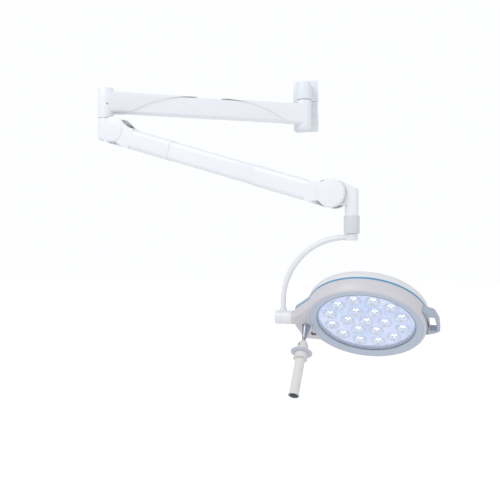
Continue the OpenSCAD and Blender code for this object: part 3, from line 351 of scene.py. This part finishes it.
metals = {
    # name: base, shade, rough, stretch, bump depth
    "satinSteel": ((0.62, 0.63, 0.66), (0.42, 0.43, 0.46), 0.26, (1.0, 1.0, 30.0), 0.00006),
    "stemSteel": ((0.5, 0.51, 0.56), (0.26, 0.27, 0.33), 0.2, (2.0, 30.0, 30.0), 0.00005),
    "zincPlate": ((0.55, 0.56, 0.57), (0.4, 0.41, 0.42), 0.36, (40.0, 1.0, 1.0), 0.0001),
    "springSteel": ((0.2, 0.2, 0.22), (0.1, 0.1, 0.11), 0.34, (1.0, 1.0, 1.0), 0.0001),
    "bushBronze": ((0.58, 0.42, 0.2), (0.4, 0.28, 0.13), 0.32, (1.0, 1.0, 40.0), 0.00006),
    "rawAluminium": ((0.7, 0.71, 0.73), (0.52, 0.53, 0.55), 0.38, (1.0, 30.0, 1.0), 0.0001),
    # painted reflection: the tray's dark blue shade colour, laid in large cloudy patches, stands in for
    # reflections
    "trayMirror": ((0.86, 0.91, 0.98), (0.3, 0.4, 0.7), 0.1, (0.5, 0.5, 0.5), 0.0008),
    "cupMirror": ((0.92, 0.95, 1.0), (0.5, 0.58, 0.78), 0.08, (3.0, 3.0, 3.0), 0.0003),
}
paintedMirrorGlow = {"trayMirror": 0.34, "cupMirror": 0.3}      # painted light: emission makes these mirrors glow with their own colour
materials = {}


def makeSkin(name, base, shade, cloud, grain, rough, spread, depth, coat, dust):
    material, tree, shader, place = startMaterial(name)
    skin = addNode(tree, "ShaderNodeGroup", (-600, 100), node_tree=coatedSkin)
    for label, value in (("Base", (*base, 1)), ("Shade", (*shade, 1)), ("Cloud", cloud),
                         ("Grain", grain), ("Rough", rough), ("RoughSpread", spread)):
        skin.inputs[label].default_value = value
    film = addNode(tree, "ShaderNodeGroup", (-250, 150), node_tree=restingDust)
    film.inputs["Amount"].default_value = dust
    tree.links.new(place, skin.inputs["Place"])
    tree.links.new(place, film.inputs["Place"])
    tree.links.new(skin.outputs["Colour"], film.inputs["Colour"])
    tree.links.new(skin.outputs["Roughness"], film.inputs["Roughness"])
    tree.links.new(film.outputs["Colour"], shader.inputs["Base Color"])
    tree.links.new(film.outputs["Roughness"], shader.inputs["Roughness"])
    shader.inputs["Coat Weight"].default_value = coat
    shader.inputs["Coat Roughness"].default_value = 0.12
    bumpInto(tree, shader, skin.outputs["Height"], depth)
    materials[name] = material


def makeMetal(name, base, shade, rough, stretch, depth):
    material, tree, shader, place = startMaterial(name)
    metal = addNode(tree, "ShaderNodeGroup", (-500, 100), node_tree=turnedMetal)
    for label, value in (("Base", (*base, 1)), ("Shade", (*shade, 1)), ("Rough", rough),
                         ("Stretch", stretch)):
        metal.inputs[label].default_value = value
    tree.links.new(place, metal.inputs["Place"])
    tree.links.new(metal.outputs["Colour"], shader.inputs["Base Color"])
    tree.links.new(metal.outputs["Roughness"], shader.inputs["Roughness"])
    shader.inputs["Metallic"].default_value = 1.0
    # painted light: the mirror glows with its own colour, though no lamp shines in it
    if name in paintedMirrorGlow:
        tree.links.new(metal.outputs["Colour"], shader.inputs["Emission Color"])
        shader.inputs["Emission Strength"].default_value = paintedMirrorGlow[name]
    bumpInto(tree, shader, metal.outputs["Height"], depth)
    materials[name] = material


def makeGlass(name, tone, shade, alpha, rough, cloudScale):
    # clear plastic or glass with a faint smear
    material, tree, shader, place = startMaterial(name)
    smear = noiseNode(tree, place, cloudScale, 5.0, (-600, 100), 0.6)
    smeared = mixColour(tree, smear, (*tone, 1), (*shade, 1), (-200, 200))
    tree.links.new(smeared, shader.inputs["Base Color"])
    rougher = mathNode(tree, "MULTIPLY_ADD", smear, 0.12, (-200, -100))
    rougher.node.inputs[2].default_value = rough
    tree.links.new(rougher, shader.inputs["Roughness"])
    bumpInto(tree, shader, smear, 0.0001)
    shader.inputs["Alpha"].default_value = alpha
    shader.inputs["Coat Weight"].default_value = 0.4
    shader.inputs["Coat Roughness"].default_value = 0.03
    materials[name] = material


def makePaintedHighlight(name, tone, strength):
    # painted highlight: glowing bright spots on a pale pad stand in for the shine of the lens core
    material, tree, shader, place = startMaterial(name)
    cells = addNode(tree, "ShaderNodeTexVoronoi", (-600, 100), Scale=420.0)
    tree.links.new(place, cells.inputs["Vector"])
    glow = mathNode(tree, "SUBTRACT", 1.15, cells.outputs["Distance"], (-350, 100), clamp=True)
    colour = mixColour(tree, glow, (0.55, 0.6, 0.7, 1), (*tone, 1), (-100, 100))
    tree.links.new(colour, shader.inputs["Base Color"])
    tree.links.new(colour, shader.inputs["Emission Color"])
    shader.inputs["Emission Strength"].default_value = strength
    shader.inputs["Roughness"].default_value = 0.3
    bumpInto(tree, shader, cells.outputs["Distance"], 0.0001)
    materials[name] = material


for name, values in skins.items():
    makeSkin(name, *values)
for name, values in metals.items():
    makeMetal(name, *values)
makeGlass("frontGlass", (0.9, 0.95, 1.0), (0.8, 0.88, 0.98), 0.1, 0.03, 9.0)
makeGlass("lensAcrylic", (0.9, 0.95, 1.0), (0.72, 0.82, 0.97), 0.14, 0.03, 60.0)
makeGlass("rimAcrylic", (0.95, 0.98, 1.0), (0.8, 0.88, 1.0), 0.85, 0.1, 60.0)
# painted highlight: the cores glow, though the lamp is not lit
makePaintedHighlight("paintedCoreHighlight", (1.0, 1.0, 1.0), 1.5)
print("materials ready:", len(materials))

finishes = {
    "armEnamel": ["wall_hub_fitting", "extension_beam", "elbow_hub_fitting", "elbow_top_cap",
                  "wall_hub_bottom_cap", "elbow_knuckle", "rear_cover", "middle_cover",
                  "front_cover", "side_caps", "front_knuckle"],
    "bracketEnamel": ["bracket_casting", "lower_cover"],
    "bowEnamel": ["bow_spigot", "bow_tube", "bow_eye", "eye_cap"],
    "sleevePaint": ["front_sleeve"],
    "casingPlastic": ["front_casing"],
    "shellPlastic": ["rear_shell"],
    "trimBlue": ["trim_ring"],
    "bezelPlastic": ["bezel"],
    "gripPlastic": ["side_grip"],
    "handlePlastic": ["handle_hub", "grip_sleeve"],
    "discPlastic": ["guard_disc"],
    "keyRubber": ["rocker_key"],
    "sealRubber": ["window_seal"],
    "boardGreen": ["led_board"],
    "satinSteel": ["wall_shaft", "elbow_shaft", "rear_pin", "front_pin", "tilt_axle",
                   "bracket_screws", "casing_screws", "hub_brake_screws", "wall_retaining_ring",
                   "elbow_retaining_ring", "spigot_ring", "release_button", "pull_rod", "spring_nut"],
    "stemSteel": ["handle_stem"],
    "zincPlate": ["wall_plate", "rear_yoke", "front_yoke", "arm_tube", "levelling_link", "spring_seat"],
    "springSteel": ["balance_spring"],
    "bushBronze": ["hub_bushes", "spigot_bushes", "eye_bushes"],
    # painted shade: the thrust washers are dark grey to give the shadowed gap between hub and bracket
    "paintedShadeGrey": ["wall_thrust_washer", "elbow_thrust_washer"],
    "rawAluminium": ["heat_sink"],
    "trayMirror": ["lens_tray"],
    "frontGlass": ["window"],
    "lensAcrylic": ["lenses"],
}
for name, members in finishes.items():
    for member in members:
        mesh = nodes[member].data
        mesh.materials.clear()
        mesh.materials.append(materials[name])

# ---- head frame ----
# x runs along the tilt axis, z points away from the light, the origin is on the tilt axis
headSizes = {"glassDepth": 0.014, "innerRing": 0.057, "outerRing": 0.114,
             "innerTurn": 4, "outerTurn": 18}
tiltLine = Vector(joints["head_tilt"]["axis"]).normalized()
lightLine = Vector(joints["handle_turn"]["axis"]).normalized()
headUp = -lightLine
headSide = headUp.cross(tiltLine).normalized()
glassLow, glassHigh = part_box("window")
headCentre = (glassLow + glassHigh) / 2 + headUp * headSizes["glassDepth"]
headMatrix = Matrix((
    (tiltLine.x, headSide.x, headUp.x, headCentre.x),
    (tiltLine.y, headSide.y, headUp.y, headCentre.y),
    (tiltLine.z, headSide.z, headUp.z, headCentre.z),
    (0, 0, 0, 1)))


def settle(piece, name, material, body, matrix=None):
    # bakes the place into the mesh and hands the piece to its body
    makeActive(piece)
    bpy.ops.object.transform_apply(location=True, rotation=True, scale=True)
    if matrix is not None:
        piece.matrix_world = matrix
        bpy.ops.object.transform_apply(location=True, rotation=True, scale=True)
    piece.name = name
    piece.data.name = name
    piece.data.materials.clear()
    piece.data.materials.append(materials[material])
    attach(piece, body)
    return piece


def pickFaces(piece, test):
    # selects the faces that pass, and goes to edit mode
    mesh = piece.data
    bpy.ops.object.mode_set(mode="OBJECT")
    mesh.vertices.foreach_set("select", [False] * len(mesh.vertices))
    mesh.edges.foreach_set("select", [False] * len(mesh.edges))
    for face in mesh.polygons:
        face.select = bool(test(face))
    bpy.ops.object.mode_set(mode="EDIT")
    bpy.ops.mesh.select_mode(type="FACE")


# ---- finished copies of the shells, with their edges rounded ----
edgeRounds = {                  # metres
    "bracket_casting": 0.0035, "lower_cover": 0.002, "wall_plate": 0.0008,
    "wall_hub_fitting": 0.0004, "elbow_hub_fitting": 0.0004, "extension_beam": 0.0004,
    "elbow_top_cap": 0.0015, "elbow_knuckle": 0.0022,
    "rear_cover": 0.0009, "middle_cover": 0.0006, "front_cover": 0.0009, "side_caps": 0.0007,
    "front_knuckle": 0.003, "front_sleeve": 0.0012, "bow_eye": 0.0015, "eye_cap": 0.0015,
    "front_casing": 0.0014, "rear_shell": 0.0012, "trim_ring": 0.0006, "bezel": 0.0008,
    "side_grip": 0.0035, "handle_hub": 0.001, "guard_disc": 0.0009, "grip_sleeve": 0.0008,
    "lens_tray": 0.0007, "rocker_key": 0.0008, "release_button": 0.0006, "casing_screws": 0.0004,
}
rounding = {"merge": 0.00002, "flat": 0.6, "corner": 38, "smooth": 34}     # metres, then degrees
finishOf = {member: name for name, members in finishes.items() for member in members}


def roundEdges(radius, steps=3, angle=rounding["corner"]):
    # works on the active piece
    bpy.ops.object.modifier_add(type="BEVEL")
    bevel = bpy.context.object.modifiers[-1]
    bevel.width, bevel.segments = radius, steps
    bevel.limit_method, bevel.angle_limit = "ANGLE", math.radians(angle)
    bevel.use_clamp_overlap = True
    bpy.ops.object.modifier_apply(modifier=bevel.name)
    bpy.ops.object.shade_smooth_by_angle(angle=math.radians(rounding["smooth"]))


def finishedCopy(node, radius):
    piece = bpy.data.objects.new(node + "_finished", nodes[node].data.copy())
    bpy.context.scene.collection.objects.link(piece)
    makeActive(piece)
    bpy.ops.mesh.customdata_custom_splitnormals_clear()
    bpy.ops.object.mode_set(mode="EDIT")
    bpy.ops.mesh.select_all(action="SELECT")
    bpy.ops.mesh.remove_doubles(threshold=rounding["merge"])
    bpy.ops.mesh.dissolve_limited(angle_limit=math.radians(rounding["flat"]))
    bpy.ops.object.mode_set(mode="OBJECT")
    roundEdges(radius)
    piece.data.materials.clear()
    piece.data.materials.append(materials[finishOf[node]])
    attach(piece, nodes[node]["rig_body"])
    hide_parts(node)
    return piece


for node, radius in edgeRounds.items():
    finishedCopy(node, radius)
print("edges rounded:", len(edgeRounds))


# ---- second materials on chosen faces of the handle, with painted shade on the lip and in the bore ----
handlePaint = {"collarRadius": 0.0245, "lipRadius": 0.0165, "lipWidth": 0.006, "boreSlack": 0.0025}


def paintFaces(piece, material, test):
    makeActive(piece)
    piece.data.materials.append(materials[material])
    pickFaces(piece, test)
    piece.active_material_index = len(piece.data.materials) - 1
    bpy.ops.object.material_slot_assign()
    bpy.ops.object.mode_set(mode="OBJECT")


def offAxis(point):
    # distance from the handle's axis
    away = Vector(point) - Vector(joints["handle_turn"]["pos_m"])
    return (away - away.dot(lightLine) * lightLine).length


pieces = bpy.data.objects
paintFaces(pieces["guard_disc_finished"], "handlePlastic",
           lambda face: offAxis(face.center) < handlePaint["collarRadius"])
lipInside = handlePaint["lipRadius"] - handlePaint["lipWidth"]
# painted shade: faces of the lip that point down the handle get a dark grey
paintFaces(pieces["guard_disc_finished"], "paintedLipShade",
           lambda face: face.normal.dot(lightLine) > 0.6
           and lipInside < offAxis(face.center) < handlePaint["collarRadius"])
gripInside = min(offAxis(corner.co) for corner in pieces["grip_sleeve_finished"].data.vertices)
# painted shade: the faces of the grip's bore are painted dark grey
paintFaces(pieces["grip_sleeve_finished"], "paintedShadeGrey",
           lambda face: offAxis(face.center) < gripInside + handlePaint["boreSlack"])
# painted shade: the hub's face at the bottom of the bore is painted dark grey
paintFaces(pieces["handle_hub_finished"], "paintedShadeGrey",
           lambda face: face.normal.dot(lightLine) > 0.9 and offAxis(face.center) < gripInside)
print("handle faces painted")


# ---- lenses, their mirrors and lamp chips ----
lensShape = {"radius": 0.0218, "front": -0.0115, "back": 0.003, "neck": 0.42,
             "sides": 48, "edge": 0.0003, "corner": 50,
             # each step of the front: how far in, how far it sinks
             "steps": [(0.0016, 0.0), (0.0004, 0.0016), (0.0035, 0.0006), (0.004, -0.0008),
                       (0.0035, -0.0012), (0.0035, -0.0006), (0.0022, -0.0001)]}
mirrorShape = {"radius": 0.0214, "front": -0.0092, "wall": 0.0003, "sides": 48,
               # rings of the cup: radius, height above its rim
               "rings": [(0.0186, 0.0034), (0.0150, 0.0066), (0.0112, 0.0090), (0.0086, 0.0104)]}
coreShape = {"radius": 0.0082, "place": 0.0010, "wall": 0.0004, "sides": 32,
             "rings": [(0.0076, -0.0014), (0.0060, -0.0026), (0.0038, -0.0033), (0.0016, -0.0036)]}
chipShape = {"size": 0.0042, "thick": 0.0009, "border": 0.14, "raised": 0.4,
             "ring": 0.0064, "depth": -0.0030,
             "turns": [42, 138, 270]}    # degrees about the lens
rimShape = {"radius": 0.0217, "wide": 0.0011, "front": -0.0112, "thick": 0.001, "sides": 48}
lampSmooth = 40                 # degrees


def lensPlaces():
    places = [(0.0, 0.0)]
    for count, radius, turn in ((6, headSizes["innerRing"], headSizes["innerTurn"]),
                                (12, headSizes["outerRing"], headSizes["outerTurn"])):
        for step in range(count):
            angle = math.radians(turn + step * 360 / count)
            places.append((radius * math.cos(angle), radius * math.sin(angle)))
    return places


def makeLens():
    deselectAll()
    shape = lensShape
    depth = shape["back"] - shape["front"]
    bpy.ops.mesh.primitive_cylinder_add(vertices=shape["sides"], radius=shape["radius"], depth=depth,
                                        location=(0, 0, (shape["back"] + shape["front"]) / 2))
    lens = bpy.context.object
    bpy.ops.object.transform_apply(location=True, rotation=True, scale=True)
    pickFaces(lens, lambda face: face.normal.z > 0.9)
    bpy.ops.transform.resize(value=(shape["neck"], shape["neck"], 1))
    pickFaces(lens, lambda face: face.normal.z < -0.9)
    for inward, sink in shape["steps"]:
        bpy.ops.mesh.inset(thickness=inward, depth=0)
        bpy.ops.transform.translate(value=(0, 0, sink))
    bpy.ops.object.mode_set(mode="OBJECT")
    roundEdges(shape["edge"], 2, shape["corner"])
    return lens


def addRings(rings, fill):
    # carries the open edge on through rings of a radius and a height, and closes it when fill is set
    radius, height = rings[0]
    for nextRadius, nextHeight in rings[1:]:
        bpy.ops.mesh.extrude_edges_move()
        bpy.ops.transform.resize(value=(nextRadius / radius, nextRadius / radius, 1),
                                 center_override=(0, 0, 0))
        bpy.ops.transform.translate(value=(0, 0, nextHeight - height))
        radius, height = nextRadius, nextHeight
    if fill:
        bpy.ops.mesh.edge_face_add()
    bpy.ops.object.mode_set(mode="OBJECT")


def startRing(radius, height, sides):
    deselectAll()
    bpy.ops.mesh.primitive_circle_add(vertices=sides, radius=radius, location=(0, 0, height))
    ring = bpy.context.object
    bpy.ops.object.transform_apply(location=True, rotation=True, scale=True)
    bpy.ops.object.mode_set(mode="EDIT")
    bpy.ops.mesh.select_all(action="SELECT")
    return ring


def thicken(piece, thickness):
    # gives the active sheet its wall and smooths it
    bpy.ops.object.modifier_add(type="SOLIDIFY")
    wall = piece.modifiers[-1]
    wall.thickness, wall.offset = thickness, 0
    bpy.ops.object.modifier_apply(modifier=wall.name)
    bpy.ops.object.shade_smooth_by_angle(angle=math.radians(lampSmooth))


def makeMirror():
    # polished cup behind a lens
    shape = mirrorShape
    cup = startRing(shape["radius"], shape["front"], shape["sides"])
    rings = [(radius, shape["front"] + rise) for radius, rise in shape["rings"]]
    addRings([(shape["radius"], shape["front"])] + rings, False)
    thicken(cup, shape["wall"])
    return cup


def makeCore():
    # dome in the middle of a lens, made bright with a painted highlight
    shape = coreShape
    core = startRing(shape["radius"], shape["place"], shape["sides"])
    rings = [(radius, shape["place"] + rise) for radius, rise in shape["rings"]]
    addRings([(shape["radius"], shape["place"])] + rings, True)
    thicken(core, shape["wall"])
    return core


def makeRim():
    # raised edge around a lens
    shape = rimShape
    rim = startRing(shape["radius"], shape["front"], shape["sides"])
    addRings([(shape["radius"], shape["front"]),
              (shape["radius"] - shape["wide"], shape["front"])], False)
    thicken(rim, shape["thick"])
    return rim


def makeChip():
    deselectAll()
    shape = chipShape
    bpy.ops.mesh.primitive_cube_add(size=1, location=(shape["ring"], 0, shape["depth"]))
    chip = bpy.context.object
    chip.scale = (shape["size"], shape["size"], shape["thick"])
    bpy.ops.object.transform_apply(location=True, rotation=True, scale=True)
    pickFaces(chip, lambda face: face.normal.z < -0.9)
    bpy.ops.mesh.inset(thickness=shape["size"] * shape["border"], depth=0)
    bpy.ops.transform.translate(value=(0, 0, -shape["thick"] * shape["raised"]))
    bpy.ops.object.mode_set(mode="OBJECT")
    return chip


def copyAt(piece, moves):
    # one mesh for each place, joined into one piece
    copies = []
    for x, y, turn in moves:
        twin = bpy.data.objects.new(piece.name, piece.data.copy())
        bpy.context.scene.collection.objects.link(twin)
        twin.matrix_world = Matrix.Translation((x, y, 0)) @ Matrix.Rotation(turn, 4, "Z")
        copies.append(twin)
    bpy.data.objects.remove(piece)
    deselectAll()
    for twin in copies:
        twin.select_set(True)
    bpy.context.view_layer.objects.active = copies[0]
    bpy.ops.object.join()
    return bpy.context.object


plainMoves = [(x, y, 0) for x, y in lensPlaces()]
chipMoves = [(x, y, math.radians(turn)) for x, y in lensPlaces() for turn in chipShape["turns"]]
lampPieces = [                  # name, model, places, material, slot
    ("lens_set", makeLens, plainMoves, "lensAcrylic", "glass"),
    ("lens_mirrors", makeMirror, plainMoves, "cupMirror", "tray"),
    ("lens_cores", makeCore, plainMoves, "paintedCoreHighlight", "glass"),
    ("lens_rims", makeRim, plainMoves, "rimAcrylic", "glass"),
    ("lamp_chips", makeChip, chipMoves, "chipDark", "board"),
]
for name, model, moves, material, slotName in lampPieces:
    piece = settle(copyAt(model(), moves), name, material, "head", headMatrix)
    if name == "lens_set":
        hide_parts("lenses")
print("lenses made:", len(lensPlaces()))
